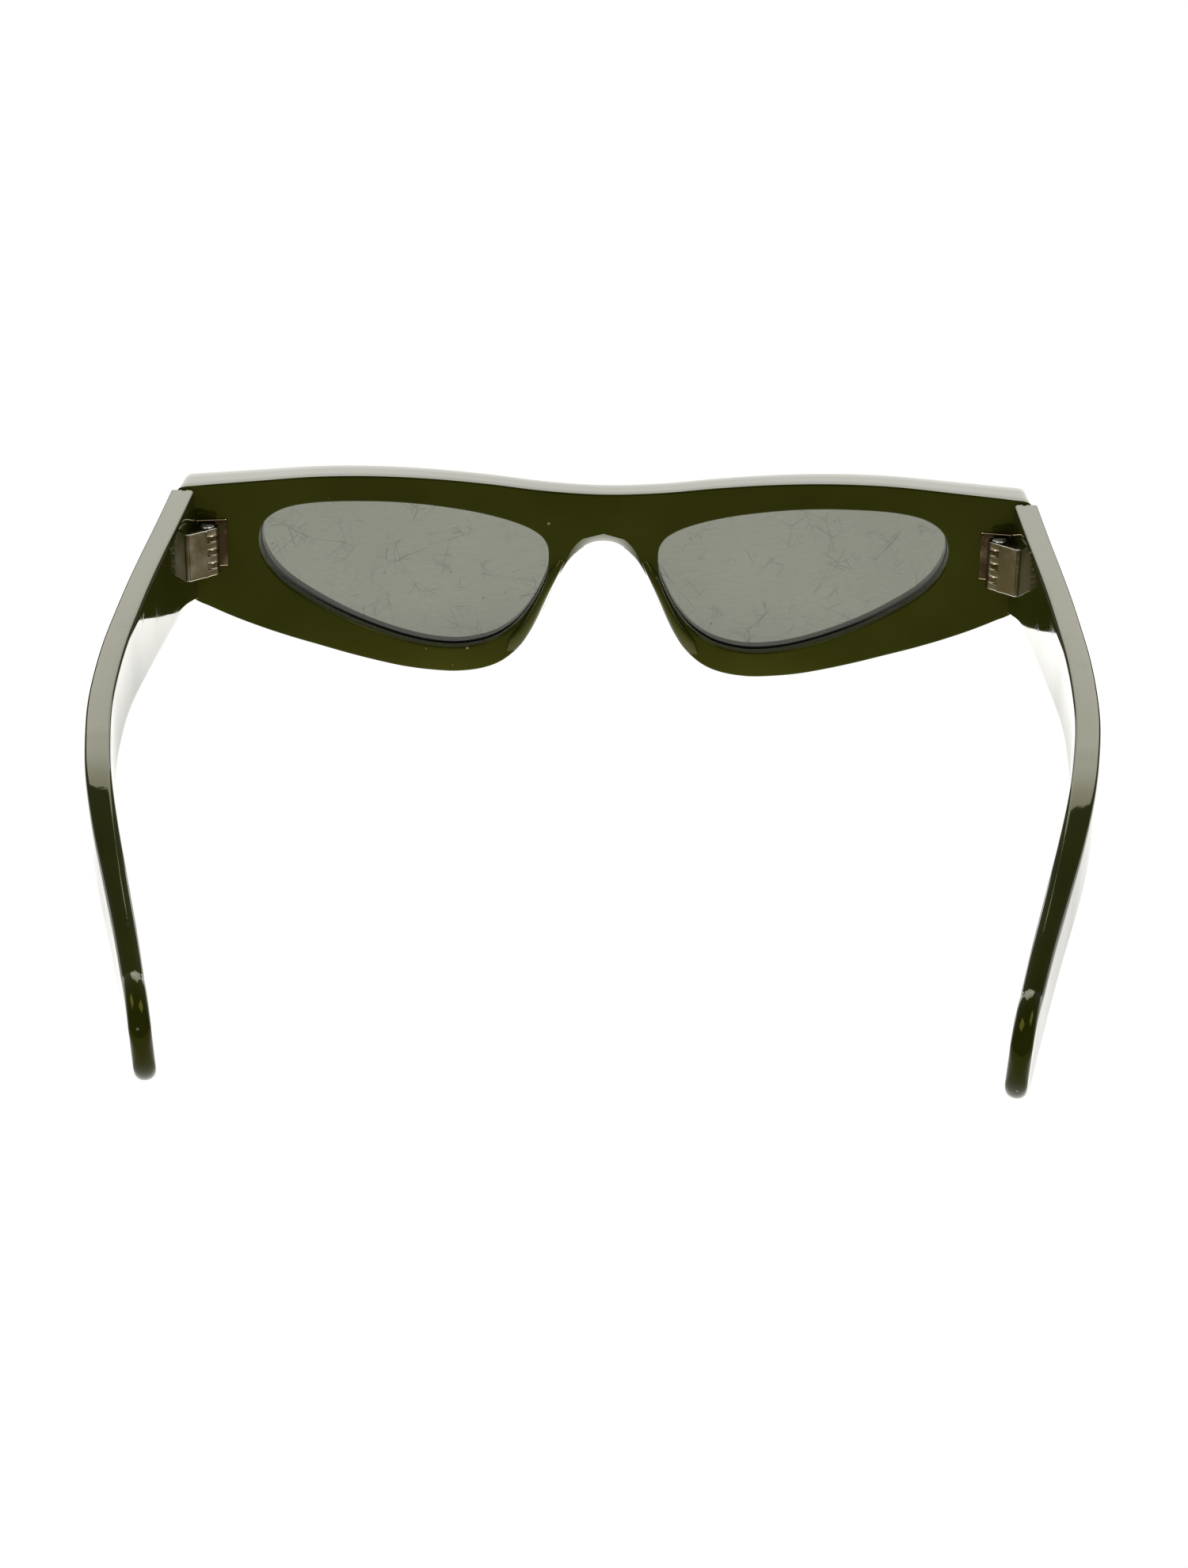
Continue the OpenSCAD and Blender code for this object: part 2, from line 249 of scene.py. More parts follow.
def stand(x, d, h):
    """Points of the front's plane in the row frame: turned by the lean, then shifted."""
    x, d, h = np.broadcast_arrays(x, d, h)
    return np.stack([x, SHIFT_Y + d * math.cos(LEAN) + h * math.sin(LEAN),
                     LIFT - d * math.sin(LEAN) + h * math.cos(LEAN)], -1)


low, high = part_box("front_frame")
print("front in CAD:", [round(c / MM, 2) for c in low], [round(c / MM, 2) for c in high])

# %% [markdown]
# ## The front
# On the real glasses the front is cut from a 6 mm acetate sheet, bent warm to a shallow
# curve, and tumbled so that every edge is rounded. One could extrude the outline and
# bevel it, but a bevel has one width all round and leaves the broad faces flat. Here the
# outline is a closed row of stations. A quarter-round profile is carried along it at each
# edge. Under the bridge it opens into a wide bevel, which the real front has so that it
# doesn't press on the nose. Between the two profiles, straight rules from each
# rim station to the nearest lens station fill the faces, and each point is put on its
# bend.

# %% Outline of the front
top_edge = [[0, 32.9], [10, 33.4], [20, 34.6], [30, 35.6], [40, 36.2], [50, 36.3],
            [60, 35.85], [67, 35.55], [72.2, 35.35]]
end_edge = [[73.7, 30], [73.7, 22], [73.6, 18], [73, 16]]
low_edge = [[73, 16], [70, 14.2], [65, 11.5], [60, 9.2], [55, 7.2], [50, 5.45], [45, 3.75],
            [40, 2.25], [35, 1.0], [30, 0.25], [25.5, 0], [21, 0.6], [17.5, 2.1],
            [14.4, 4.9], [12.5, 7.6], [11.1, 10.2], [9.9, 12.9], [8.8, 15.5], [7.65, 18.1],
            [6.15, 20.5], [4.4, 22.2], [2.4, 23.1], [0, 23.4]]
lens_edge = [[9.6, 21], [10, 18], [11.4, 14.6], [13.3, 11.3], [16.2, 8],
             [20, 5.7], [25, 4.6], [30, 4.85], [35, 6], [40, 7.8], [45, 10.1], [50, 13],
             [54.8, 16.4], [57.6, 19.3], [59.2, 22.1], [59.8, 25], [59.2, 27.7],
             [57.6, 29.6], [54.6, 30.95], [50, 31.6], [44, 31.7], [37, 31.45],
             [30, 30.75], [22, 29.4], [15.5, 27.6], [11.6, 25.7], [9.9, 23.6]]
bend = np.linspace(math.pi / 2, 0, 9)[:, None]
corner = np.array([72.2, 33.85]) + 1.5 * np.hstack([np.cos(bend), np.sin(bend)])
HALF, MIDDLE = 480, 14
half = even(np.vstack([smooth_curve([[-10, 33.4]] + top_edge, 8)[8:], corner[1:],
                       smooth_curve(end_edge, 8),
                       smooth_curve(low_edge + [[-2.4, 23.1]], 8)[1:-8]]), HALF)
rim = eased(np.vstack([half, half[-2:0:-1] * [-1, 1]]), 1.3)
rim_out = left_normal(rim)
print("rim:", len(rim), "stations, widest", round(float(np.ptp(rim[:, 0])), 2), "mm")

# %% Lens stations


def matched(loop, ring, share=0.35, steps=9600):
    """A station on the loop for each station of the ring: the nearest one, eased, and
    mixed with evenly spaced ones so that they always advance."""
    total = running_length(np.vstack([loop, loop[:1]]))[-1]
    dense = even(np.vstack([loop, loop[:1]]), steps)
    near = np.linalg.norm(ring[:, None] - dense[None, :-1], axis=2).argmin(1) / steps
    near = np.unwrap(near * 2 * math.pi) / (2 * math.pi)
    steady = near[0] + np.arange(len(ring)) / len(ring)
    drift = eased(near - steady, 9)
    return at_lengths(dense, ((steady + (1 - share) * drift) % 1) * total)


lens_loop = smooth_curve(lens_edge, 64, True)[::-1]
middle = np.stack([np.zeros(MIDDLE - 1), np.linspace(rim[HALF, 1], rim[0, 1], MIDDLE + 1)[1:-1]], 1)
ring = np.vstack([rim[:HALF + 1], middle])
# The stations beside the bridge look for their partners higher up, so that their rules
# pass over the arch and not across it.
lifted = 6.5 * np.exp(-(ring[:, :1] / 4.2) ** 4) * np.clip((33 - ring[:, 1:]) / 10, 0, 1)
lens_ring = matched(lens_loop, ring + [0, 1] * lifted)
lens_out = left_normal(lens_ring)
print("lens opening:", len(lens_ring), "stations,",
      np.round(np.ptp(lens_ring, axis=0), 1).tolist(), "mm")

# %% Where the lens sits in its groove
LENS_X, LENS_H, LENS_R, LENS_T, LENS_SET = 34.7, 18.0, 260.0, 2.0, 2.5
MEAN_BEND = 400
wrap = math.asin(LENS_X / MEAN_BEND)
lens_centre = (LENS_X - LENS_R * math.sin(wrap),
               float(rear_depth(LENS_X)) + LENS_SET - LENS_R * math.cos(wrap))


def lens_depth(x, h, radius):
    """Depth of a lens surface: a sphere about the lens's centre of curvature."""
    return lens_centre[1] + np.sqrt(radius ** 2 - (x - lens_centre[0]) ** 2 - (h - LENS_H) ** 2)


print("lens behind the face at its middle:",
      round(float(face_depth(LENS_X) - lens_depth(LENS_X, LENS_H, LENS_R + LENS_T)), 2), "mm")

# %% Rounded edges


def quarter(n=7):
    """Angles of a quarter-round, from the broad face to the edge wall."""
    return np.linspace(0, math.pi / 2, n)


def edge_rows(loop, out, inset, depth):
    """Rows of an edge profile: each row is the outline moved inwards by its inset, at
    the depth that the profile gives for its x."""
    rows = []
    for i, place in zip(inset, depth):
        p = loop - out * np.asarray(i).reshape(-1, 1)
        rows.append(stand(p[:, 0], place(p), p[:, 1]))
    return rows


under_bridge = np.exp(-(np.abs(rim[:, 0]) / 4.9) ** 3) * (rim[:, 1] < 29)
rear_round = 0.32 - 0.2 * ramp(np.abs(rim[:, 0]), 68.5, 70) + 2.08 * under_bridge
deep_round = rear_round * (1 + 0.235 * under_bridge)
flat_share = 0.9 * ramp(under_bridge, 0.02, 0.3)
face_round = 0.4


def bevel_share(a):
    """How far a row of the rear profile has gone in width and in depth: the quarter-round's
    sine and one minus cosine, and under the bridge nearly a straight bevel."""
    t = 2 * a / math.pi
    return (flat_share * t + (1 - flat_share) * math.sin(a),
            flat_share * t + (1 - flat_share) * (1 - math.cos(a)))


rear_side = [(rear_round * (1 - bevel_share(a)[0]),
              lambda p, a=a: rear_depth(p[:, 0]) + deep_round * bevel_share(a)[1])
             for a in quarter()]
face_side = [(np.full(len(rim), face_round * (1 - math.sin(a))),
              lambda p, a=a: face_depth(p[:, 0]) - face_round * (1 - math.cos(a)))
             for a in quarter()[::-1]]
wall = [(np.zeros(len(rim)), lambda p, k=k: (1 - k) * (rear_depth(p[:, 0]) + deep_round)
         + k * (face_depth(p[:, 0]) - face_round)) for k in (0.33, 0.67)]
profile = rear_side + wall + face_side
rim_rows = edge_rows(rim, rim_out, [p[0] for p in profile], [p[1] for p in profile])
rim_grid = np.array(rim_rows)
print("edge profile:", rim_grid.shape)

# %% Groove and faces
SMALL, FACE_SMALL, GROOVE = 0.3, 0.5, 0.75
lens_rear_side = [(-SMALL * (1 - math.sin(a)),
                   lambda p, a=a: rear_depth(p[:, 0]) + SMALL * (1 - math.cos(a))) for a in quarter(6)]
lens_face_side = [(-FACE_SMALL * (1 - math.sin(a)),
                   lambda p, a=a: face_depth(p[:, 0]) - FACE_SMALL * (1 - math.cos(a)))
                  for a in quarter(6)[::-1]]
behind = lambda p: lens_depth(p[:, 0], p[:, 1], LENS_R) - 0.05
before = lambda p: lens_depth(p[:, 0], p[:, 1], LENS_R + LENS_T) + 0.05
groove = [(0.0, behind), (-GROOVE, behind), (-GROOVE, before), (0.0, before)]
profile = lens_rear_side + groove + lens_face_side
lens_rows = edge_rows(lens_ring, lens_out, [np.full(len(ring), p[0]) for p in profile],
                      [p[1] for p in profile])


def ruled_face(inner, outer, depth, rows=10):
    """Rows between two rings of the front's plane: each point goes straight from its
    inner to its outer station, and its depth is the bend's at its x."""
    mixes = np.linspace(0, 1, rows + 1)[1:-1]
    return [stand(p[:, 0], depth(p[:, 0]), p[:, 1])
            for p in (inner * (1 - k) + outer * k for k in mixes)]


def rim_ring(inset):
    """The right half of the rim moved inwards, closed by the line down the middle."""
    p = (rim - rim_out * inset[:, None])[:HALF + 1]
    line = p[-1] + (p[0] - p[-1]) * np.linspace(0, 1, MIDDLE + 1)[1:-1, None]
    return np.vstack([p, line])


rear_ring = rim_ring(rear_round)
face_ring = rim_ring(np.full(len(rim), face_round))
rear_rows = ruled_face(lens_ring + lens_out * SMALL, rear_ring, rear_depth)
face_rows = ruled_face(lens_ring + lens_out * FACE_SMALL, face_ring, face_depth)
half_rows = ([stand(rear_ring[:, 0], rear_depth(rear_ring[:, 0]), rear_ring[:, 1])]
             + rear_rows[::-1] + lens_rows + face_rows
             + [stand(face_ring[:, 0], face_depth(face_ring[:, 0]), face_ring[:, 1])])
half_grid = np.array(half_rows)
front = make_piece("front_body", [rim_grid, half_grid, mirrored(half_grid)],
                   "front", ["front_frame"], sharp=40)

# %% [markdown]
# ## The lenses
# Each lens is a 2 mm sheet of tinted plastic, thermoformed to a part of a sphere, with
# its edge held in the groove. A polar grid suits it: rings from the middle out to the
# edge over the rear surface, over the edge, and back over the front surface. Both poles
# close when their points are merged.

# %% Lenses
lens_rim = even(np.vstack([lens_loop, lens_loop[:1]]), 260)[:-1]
lens_rim = lens_rim + left_normal(lens_rim) * 0.66
spread = np.sin(np.linspace(0, math.pi / 2, 22))


def lens_surface(radius, shares):
    """Rings of a lens surface: the edge drawn in towards the middle by each share, at
    the depth of the sphere."""
    p = np.array([LENS_X, LENS_H]) + (lens_rim - [LENS_X, LENS_H])[None] * shares[:, None, None]
    return stand(p[..., 0], lens_depth(p[..., 0], p[..., 1], radius), p[..., 1])


lens_grid = np.concatenate([lens_surface(LENS_R, spread),
                            lens_surface(LENS_R + LENS_T, spread[::-1])])
lenses = [make_piece(f"tinted_lens_{side}", [place(lens_grid)], "front", [f"lens_{side}"],
                     sharp=40) for side, place in SIDES.items()]

# %% [markdown]
# ## The nose pads
# A pad is a small crescent of the same acetate, bonded to the rear of the rim beside the
# nose and polished into it. Its nose side is steep and its lens side runs out gently. The
# crescent is carried from its lower to its upper point, and its height follows a shallow
# arc.

# %% Nose pads
nose_line = even(smooth_curve([[17.0, 2.9], [14.42, 4.9], [12.5, 7.6], [11.1, 10.2],
                               [9.9, 12.9], [8.8, 15.5], [7.66, 18.1], [6.6, 20.8]], 8), 60)
lens_line = even(smooth_curve([[16.9, 4.1], [16.1, 6.6], [14, 9.3], [12.1, 12.3], [10.5, 15.6],
                               [9.2, 18.9], [7.4, 21.6]], 8), 60)


def pad_grid(height=2.35, sunk=0.7, splay=0.32):
    """Rows along the crescent. Each row goes over the pad by a half turn of angle a:
    the share of the way across is half of one minus cos a, and the height is sin a to a
    small power on the nose side and a larger one on the lens side. There it also sinks a
    little into the rim. It comes back under, inside the rim. The side splays outwards by
    a share of the height."""
    a = np.linspace(0, math.pi, 25)[None, :]
    nose, lens = nose_line[:, None, :], lens_line[:, None, :]
    share = 0.5 - 0.5 * np.cos(a)
    base = nose * (1 - share[..., None]) + lens * share[..., None]
    arc = np.clip(1 - ((base[..., 1] - 12.7) / 8.9) ** 2, 0, 1)
    power = 0.5 + 0.45 * ramp(a, 0.9, 2.4)
    rise = height * arc * np.sin(a).clip(0, 1) ** power
    start = 0.36 * (1 - ramp(a, 0.05, 0.5))
    sink = 0.02 + start + 0.15 * (1 - np.sin(a)) * ramp(a, 1.6, 2.6)
    over = np.stack([base[..., 0] - 0.02 + splay * rise,
                     rear_depth(base[..., 0]) - rise + sink, base[..., 1]], -1)
    tucked = 0.15 + 0.8 * share[:, ::-1, None]
    inner = nose * (1 - tucked) + lens * tucked
    under = np.stack([inner[..., 0], rear_depth(inner[..., 0]) + sunk, inner[..., 1]], -1)
    p = np.concatenate([over, under], 1)
    p[[0, -1]] = p[[0, -1]].mean(1, keepdims=True)
    return stand(p[..., 0], p[..., 1], p[..., 2])


pads = [make_piece(f"bonded_pad_{side}", [place(pad_grid())], "front", [f"nose_pad_{side}"],
                   sharp=60) for side, place in SIDES.items()]

# %% [markdown]
# ## The temples
# A temple is a long acetate arm, about 4 mm thick, with a steel wire shot down its
# middle. It narrows towards a round tip, bends down behind the ear, and twists a little
# there so that the tip lies flat against the head. It is made as one section carried
# along the arm: a tall rounded rectangle whose height comes from the side view, whose
# place comes from the plan, and whose lower edge leans inwards behind the bend.

# %% Plan and side view of a temple
plan = smooth_curve([[73.6, 4], [74.25, -6], [75.2, -20], [75.95, -30], [76.6, -40],
                     [77.05, -50], [77.35, -60], [77.2, -70], [76.6, -80], [75.3, -90],
                     [73.5, -100], [71.0, -110], [68.0, -120], [65.0, -130], [62.2, -140],
                     [59.8, -149]], 12)[::-1]
slope = math.tan(math.radians(5))
top_line = smooth_curve([[-138.6, 15.7], [-131, 18.4], [-120, 21.75], [-109, 25.1],
                         [-100, 27.2], [-91, 36.25 - 91 * slope], [-82, 36.25 - 82 * slope],
                         [-60, 36.25 - 60 * slope], [-30, 36.25 - 30 * slope],
                         [4, 36.25 + 4 * slope]], 12)
low_line = smooth_curve([[-138.9, 0], [-135.5, 0.75], [-130, 3.1], [-123, 6.5], [-114, 10.3],
                         [-104, 13.4], [-94, 15.8], [-84, 17.4], [-74, 18.6], [-65, 19.3],
                         [-55, 19.3], [-45, 18.9], [-33, 18.6], [-21, 18.4], [-13, 17.6],
                         [-8, 16.4], [-4, 15.1], [4, 12]], 12)
TIP_Y, TIP_R = -138.9, 7.6


def tip_half(y):
    """Half height of the round tip: the circle of radius 7.6 mm at this y."""
    return np.sqrt(np.clip(TIP_R ** 2 - np.clip(TIP_Y - y, 0, TIP_R) ** 2, 0, None))


def temple_top(y):
    """Height of the top edge, with the tip's circle behind the tip's middle."""
    line = np.interp(y, top_line[:, 0], top_line[:, 1])
    meet = np.interp(TIP_Y, top_line[:, 0], top_line[:, 1]) - TIP_R
    return np.where(y < TIP_Y, TIP_R + tip_half(y) * meet / TIP_R, line)


def temple_low(y):
    """Height of the lower edge, with the tip's circle behind the tip's middle."""
    return np.where(y < TIP_Y, TIP_R - tip_half(y), np.interp(y, low_line[:, 0], low_line[:, 1]))


def temple_thickness(y):
    """4.1 mm at the hinge, going evenly to 3.8 mm, then polished down to 3.1 mm at the
    tip."""
    return 4.1 - 0.3 * np.clip(-y / 120, 0, 1) - 0.7 * ramp(-y, 108, 146)


print("heights at the hinge:", round(float(temple_low(-8.0)), 1), round(float(temple_top(-8.0)), 1))

# %% The section


def section(width, height, r_out, r_in, n=6, tall=16, wide=4):
    """A closed rounded rectangle, one row per station: a is the share across, from 0 at
    the outer face, and b the height above the lower edge. Its four corners are quarter
    circles, and points on opposite faces have equal heights."""
    q = np.linspace(0, math.pi / 2, n)[None, :]
    w, t = width[:, None], height[:, None]
    ro = np.minimum(r_out, np.minimum(t, w) / 2 * 0.999)
    ri = np.minimum(r_in, np.minimum(t, w) / 2 * 0.999)
    k = np.linspace(0, 1, tall)[None, 1:-1]
    m = np.linspace(0, 1, wide)[None, 1:-1]
    low_out = (ro - ro * np.sin(q), ro - ro * np.cos(q))
    a = [low_out[0], 0 * k + 0 * w, (ro - ro * np.cos(q)), ro + (w - ro - ri) * m,
         w - ri + ri * np.sin(q), w + 0 * k, w - ri + ri * np.cos(q), w - ri - (w - ro - ri) * m]
    b = [low_out[1], ro + (t - 2 * ro) * k, t - ro + ro * np.sin(q), t + 0 * m,
         t - ri + ri * np.cos(q), t - ri - (t - 2 * ri) * k, ri - ri * np.sin(q), 0 * t + 0 * m]
    return np.concatenate(a, 1), np.concatenate([c + 0 * w for c in b], 1)


PIN_X, PIN_H, GAP, INNER_R = 67.9, 25.1, 0.12, 1.8


def front_stop(x, z, inner):
    """Where a temple ends at the front: its y on the rear face's bend and lean, less the
    gap, and less the rounding of the inner corner, which is a quarter circle of 1.8 mm."""
    bend_y = (rear_depth(x) - GAP) / math.cos(LEAN) + (z - LIFT) * math.tan(LEAN)
    near = np.clip(INNER_R - inner, 0, INNER_R)
    return bend_y - (INNER_R - np.sqrt(INNER_R ** 2 - near ** 2))


def temple_grid():
    """Rows along a temple. A station's y gives the outer edge's place and direction in
    plan, and the section is laid across it. Behind the bend the lower edge leans in by 3
    degrees."""
    start = -7.0
    y = np.concatenate([start - 30 * np.linspace(0, 1, 40) ** 1.5,
                        np.linspace(-38, TIP_Y, 260),
                        TIP_Y - TIP_R * np.sin(np.linspace(0, math.pi / 2, 44))[1:]])
    y[-1] += 0.001
    top, low = temple_top(y), temple_low(y)
    left = TIP_Y - TIP_R - y
    end_r = 1.5
    pinch = end_r - np.sqrt(np.clip(end_r ** 2 - np.clip(end_r + left, 0, end_r) ** 2, 0, None))
    full = temple_thickness(y)
    full_round = ramp(-y, 96, 126)[:, None]
    a, b = section(full, top - low, 0.4 + 1.1 * full_round, 0.55 + 0.95 * full_round)
    a = a + (full[:, None] / 2 - a) * (2 * pinch / full)[:, None]
    x_out = np.interp(y, plan[:, 1], plan[:, 0])
    along = np.gradient(x_out, y)
    size = np.sqrt(1 + along ** 2)
    inward = np.stack([-1 / size, along / size], 1)
    twist = ramp(-y, 84, 126)
    x = x_out[:, None] + inward[:, :1] * a + 0.3 * twist[:, None]
    z = low[:, None] + b
    x = x - twist[:, None] * math.tan(math.radians(3)) * (top[:, None] - z)
    yy = y[:, None] + inward[:, 1:] * a
    return x, yy, z, a, full


def capped(x, y, z, a, full, soft=0.1):
    """The temple's rows with its front end: the last points slide to the front's rear
    face, the edge is rounded there by 0.1 mm, and the end face closes on its middle
    line, where opposite points meet."""
    slide = 1 - ramp(-y[:, :1], 7.0, 30.0)
    stop = front_stop(x, z, full[:, None] - a)
    y = y + slide * (stop - y[:1].mean())
    x0, z0, a0 = x[0], z[0], a[0]
    mid = full[0] / 2
    ends = []
    z_mid = (z0.max() + z0.min()) / 2
    for turn in quarter(5)[1:]:
        inset = soft * (1 - math.cos(turn))
        ends.append((inset, soft * math.sin(turn) - soft))
    body = np.stack([x, y, z], -1)
    body[0, :, 1] -= soft
    rows = [body]
    for inset, back in ends:
        share = (mid - inset) / mid
        ax = mid + (a0 - mid) * share
        xx = x0 - (ax - a0)
        zz = z_mid + (z0 - z_mid) * (1 - inset / ((z0.max() - z0.min()) / 2))
        yy = front_stop(xx, zz, full[0] - ax) + back
        rows.insert(0, np.stack([xx, yy, zz], -1)[None])
    last = rows[0][0]
    for share in (0.6, 0.3, 0.0):
        ax = mid + (a0 - mid) * (mid - soft) / mid * share
        xx = x0 - (ax - a0)
        zz = last[:, 2]
        yy = front_stop(xx, zz, full[0] - ax)
        rows.insert(0, np.stack([xx, yy, zz], -1)[None])
    return np.concatenate(rows)


arm = capped(*temple_grid())
arm[..., 1] += SHIFT_Y
temples = [make_piece(f"acetate_arm_{side}", [place(arm)], f"{side}_temple",
                      [f"temple_{side}"], ends=True, sharp=50)
           for side, place in SIDES.items()]

# %% [markdown]
# ## The hinges
# A seven-barrel hinge is two machined leaves. The front leaf is a brass plate set in the
# rear face, with three tongues. The temple leaf is a nickel-silver plate and a block with
# one slanted face, sawn at its front into four knuckles that hold the tongues. Each layer
# of the hinge is one outline with its own thickness, so the leaves are stacked slabs with
# finely rounded edges. The mask called edge marks those rounded edges, where the metal is
# painted bright: partly rubbed wear, partly a painted highlight.

# %% Slabs


def rounded(polygon, r, n=4):
    """A polygon with its corners cut round: near each corner the outline follows the
    parabola that leaves one side and joins the next, both at a distance r."""
    p = np.asarray(polygon, float)
    back, on = np.roll(p, 1, 0) - p, np.roll(p, -1, 0) - p
    reach = [np.minimum(r, 0.45 * np.linalg.norm(v, axis=1)) for v in (back, on)]
    back, on = ((v / np.linalg.norm(v, axis=1)[:, None] * q[:, None])[:, None, :]
                for v, q in zip((back, on), reach))
    t = np.linspace(0, 1, n)[None, :, None]
    return (p[:, None, :] + back * (1 - t) ** 2 + on * t ** 2).reshape(-1, 2)


def slab(outline, low, high, r=0.12, n=4):
    """An anticlockwise outline given a thickness: its rows go up the wall, and the first
    and last few draw in by a quarter round. Returns the rows and their edge mask."""
    out = -left_normal(outline)
    q = np.linspace(0, math.pi / 2, n)
    inset = np.concatenate([r * (1 - np.sin(q)), r * (1 - np.sin(q[::-1]))])
    z = np.concatenate([low + r * (1 - np.cos(q)), high - r * (1 - np.cos(q[::-1]))])
    p = outline[None] - out[None] * inset[:, None, None]
    rows = np.concatenate([p, np.broadcast_to(z[:, None, None], p.shape[:2] + (1,))], 2)
    mask = np.broadcast_to(np.concatenate([np.sin(2 * q), np.sin(2 * q[::-1])])[:, None],
                           p.shape[:2])
    return rows, mask


def turned(rows, angle):
    """The rows turned about the pin."""
    c, s = math.cos(angle), math.sin(angle)
    return np.stack([rows[..., 0] * c - rows[..., 1] * s,
                     rows[..., 0] * s + rows[..., 1] * c, rows[..., 2]], -1)


PIN_D = float(rear_depth(PIN_X)) - 3.85


def at_pin(rows):
    """Points about the pin, in the row frame: x outwards, y forwards, z up the pin."""
    return stand(PIN_X + rows[..., 0], PIN_D + rows[..., 1], PIN_H + rows[..., 2])


def ring_arc(radius, a0, a1, n):
    """An arc about the pin, between two angles in degrees."""
    a = np.radians(np.linspace(a0, a1, n))
    return np.stack([radius * np.cos(a), radius * np.sin(a)], 1)


print("pin at, mm:", np.round(at_pin(np.zeros(3)), 2).tolist())

# %% Front leaf
PITCH, PLAY, KNUCKLE = 1.2, 0.06, 2.0
PLATE_TURN = math.asin(PIN_X / REAR_R)
tongue = np.vstack([ring_arc(KNUCKLE, 145.6, 56.6 + 360, 40),
                    [[1.1, 3.75], [-1.65, 3.75]]])
plate = rounded([[-3.6, 3.4], [2.0, 3.4], [2.0, 4.8], [-3.6, 4.8]], 0.35)
layers = [slab(plate, -4.2, 4.2, 0.14)]
layers += [slab(tongue, k * PITCH - (PITCH - PLAY) / 2, k * PITCH + (PITCH - PLAY) / 2, 0.16)
           for k in (-2, 0, 2)]
front_leaf = [at_pin(turned(rows, -PLATE_TURN)) for rows, mask in layers]
front_leaves = [make_piece(f"front_leaf_{side}", [place(g) for g in front_leaf], "front",
                           [f"front_hinge_{side}"], ends=True, sharp=35,
                           edge=[m for r, m in layers]) for side, place in SIDES.items()]

# %% Temple leaf
TEMPLE_TURN = math.radians(3.6)
DIAG = KNUCKLE * math.sqrt(0.5)
knuckle = np.vstack([rounded([[-DIAG, -DIAG], [2.42, -5.2], [2.42, 1.6], [1.2, 1.62]], 0.12)[3:],
                     ring_arc(KNUCKLE, 68, 224, 30)])
SLOT_R = 2.75
web = np.vstack([[[0.47, -3.3], [2.4, -5.2], [2.4, 1.6], [2.2, 1.6]],
                 ring_arc(SLOT_R, -31, -98, 16) * [0.92, 1.0]])
arm_plate = rounded([[2.0, -5.3], [3.4, -5.3], [3.4, 2.3], [2.0, 2.3]], 0.4)
layers = [slab(knuckle, k * PITCH - (PITCH - PLAY) / 2, k * PITCH + (PITCH - PLAY) / 2, 0.15)
          for k in (-3, -1, 1, 3)]
layers += [slab(web, -4.15, 4.15, 0.12)]
leaf = [at_pin(rows) for rows, mask in layers]
plate_rows, plate_mask = slab(arm_plate, -4.2, 4.2, 0.16)
leaf.append(at_pin(turned(plate_rows, TEMPLE_TURN)))
masks = [m for r, m in layers] + [plate_mask]
temple_leaves = [make_piece(f"temple_leaf_{side}", [place(g) for g in leaf],
                            f"{side}_temple", [f"temple_hinge_{side}"], ends=True,
                            sharp=35, edge=masks) for side, place in SIDES.items()]

# %% [markdown]
# ## The screws
# The screw drops in from above, and its slotted head lies in a countersink of the top
# knuckle. The shank is a turned profile. The head is two half discs with the slot left
# between them, on a thin full disc that is the bottom of the slot.

# %% Screws


def half_disc(radius, gap, n=24):
    """An anticlockwise half disc above a slot of this width."""
    a = math.asin(gap / 2 / radius)
    t = np.linspace(a, math.pi - a, n)
    return np.stack([radius * np.cos(t), radius * np.sin(t)], 1)


HEAD_R, SHANK_R = 1.25, 0.7
top_half, top_mask = slab(half_disc(HEAD_R, 0.34), 3.7, 4.32, 0.2)
floor_disc, floor_mask = slab(ring_arc(HEAD_R, 0, 352.5, 48), 3.4, 4.0, 0.05)
shank, shank_mask = slab(ring_arc(SHANK_R, 0, 345, 24), -4.1, 3.6, 0.12)
parts = [top_half, turned(top_half, math.pi), floor_disc, shank]
parts = [at_pin(turned(p, math.radians(25))) for p in parts]
masks = [top_mask, top_mask, floor_mask, shank_mask]
screws = [make_piece(f"slotted_screw_{side}", [place(g) for g in parts],
                     f"{side}_temple", [f"hinge_screw_{side}"], ends=True,
                     sharp=35, edge=masks) for side, place in SIDES.items()]

# %% [markdown]
# ## Marks of use
# Polished acetate, lenses and metal all collect the same three things: hairline
# scratches, specks of dust, and a slow unevenness of tone. Each is a node group, built
# once, whose output changes over the surface. Every material places the group with its
# own numbers.

# %% Node helpers


def add(tree, kind, x=0, y=0, **settings):
    """A node of this kind, placed and set."""
    node = tree.nodes.new(kind)
    node.location = (x, y)
    for key, value in settings.items():
        setattr(node, key, value)
    return node


def math_node(tree, operation, first, second=None, clamp=False):
    """A Math node. Each input is a socket to link or a number."""
    node = add(tree, "ShaderNodeMath", operation=operation, use_clamp=clamp)
    for index, value in enumerate((first, second)):
        if isinstance(value, (int, float)):
            node.inputs[index].default_value = value
        elif value is not None:
            tree.links.new(value, node.inputs[index])
    return node.outputs[0]


def new_group(name, numbers, outputs=("Value",)):
    """A shader node group with these named numbers in and these values out."""
    tree = bpy.data.node_groups.new(name, "ShaderNodeTree")
    for label, value in numbers.items():
        socket = tree.interface.new_socket(label, in_out="INPUT", socket_type="NodeSocketFloat")
        socket.default_value = value
    for label in outputs:
        tree.interface.new_socket(label, in_out="OUTPUT", socket_type="NodeSocketFloat")
    return tree, add(tree, "NodeGroupInput", -900), add(tree, "NodeGroupOutput", 900)


